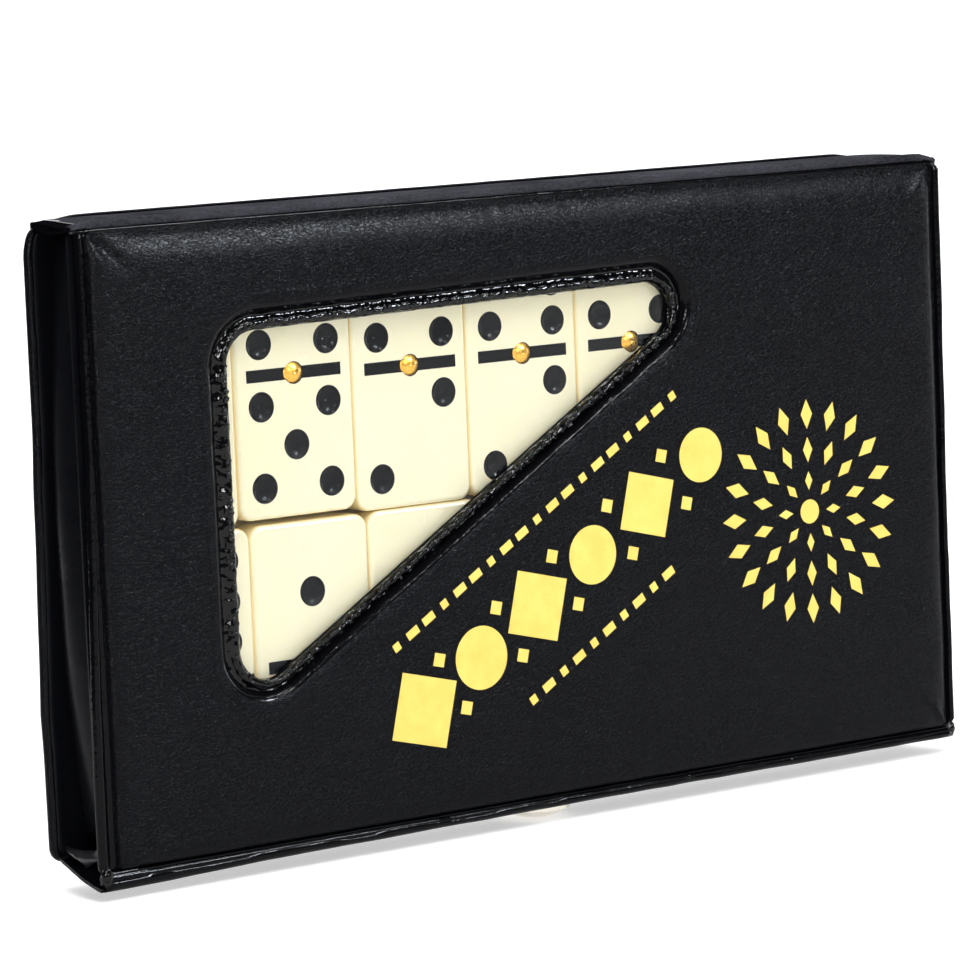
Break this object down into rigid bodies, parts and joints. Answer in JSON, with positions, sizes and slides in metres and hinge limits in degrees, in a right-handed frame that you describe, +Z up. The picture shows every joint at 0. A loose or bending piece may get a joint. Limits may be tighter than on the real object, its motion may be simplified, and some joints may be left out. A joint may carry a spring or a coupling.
{
  "type": "domino storage box",
  "caption": "Flat vinyl-covered game case with hinged spine, padded windowed cover, snap-down closing flap and a two-layer set of spinner dominoes in its tray.",
  "frame": {"origin": "middle of the footprint of the standing case, at the lowest point of the snap cap", "axes": "+X along the length to the viewer's right, window and padded cover towards -Y, +Z up towards the hinged spine"},
  "size_m": [0.1868, 0.0182, 0.1111],
  "materials": {
    "grained_vinyl": "satin grain",
    "smooth_vinyl": "gloss",
    "greyboard": "matt",
    "foam": "matt",
    "clear_film": "clear gloss",
    "tile_plastic": "gloss",
    "brass": "polished",
    "nickel": "polished"
  },
  "bodies": {
    "case": {"back_skin": "grained_vinyl", "back_board": "greyboard", "back_lining": "smooth_vinyl", "tray_board": "greyboard", "tray_vinyl": "smooth_vinyl", "snap_post": "nickel", "snap_stud": "nickel", "spinner_pins": "brass", "tile_0_0": "tile_plastic", "tile_0_1": "tile_plastic", "tile_0_2": "tile_plastic", "tile_0_3": "tile_plastic", "tile_0_4": "tile_plastic", "tile_0_5": "tile_plastic", "tile_0_6": "tile_plastic", "tile_1_1": "tile_plastic", "tile_1_2": "tile_plastic", "tile_1_3": "tile_plastic", "tile_1_4": "tile_plastic", "tile_1_5": "tile_plastic", "tile_1_6": "tile_plastic", "tile_2_2": "tile_plastic", "tile_2_3": "tile_plastic", "tile_2_4": "tile_plastic", "tile_2_5": "tile_plastic", "tile_2_6": "tile_plastic", "tile_3_3": "tile_plastic", "tile_3_4": "tile_plastic", "tile_3_5": "tile_plastic", "tile_3_6": "tile_plastic", "tile_4_4": "tile_plastic", "tile_4_5": "tile_plastic", "tile_4_6": "tile_plastic", "tile_5_5": "tile_plastic", "tile_5_6": "tile_plastic", "tile_6_6": "tile_plastic"},
    "spine": {"spine_skin": "grained_vinyl", "spine_board": "greyboard", "spine_lining": "smooth_vinyl"},
    "cover": {"cover_skin": "grained_vinyl", "cover_padding": "foam", "cover_board": "greyboard", "cover_lining": "smooth_vinyl", "window_film": "clear_film"},
    "flap": {"flap_skin": "grained_vinyl", "flap_board": "greyboard", "flap_lining": "smooth_vinyl", "snap_cap": "nickel", "snap_socket": "nickel"}
  },
  "joints": [
    {"name": "spine_hinge", "type": "hinge", "parent": "case", "child": "spine", "pos_m": [0, 0.008, 0.11015], "axis": [-1, 0, 0], "range_deg": [0, 90]},
    {"name": "cover_hinge", "type": "hinge", "parent": "spine", "child": "cover", "pos_m": [0, -0.0075, 0.11015], "axis": [-1, 0, 0], "range_deg": [0, 90]},
    {"name": "flap_hinge", "type": "hinge", "parent": "cover", "child": "flap", "pos_m": [0, -0.0073, 0.0037], "axis": [-1, 0, 0], "range_deg": [0, 90]}
  ]
}
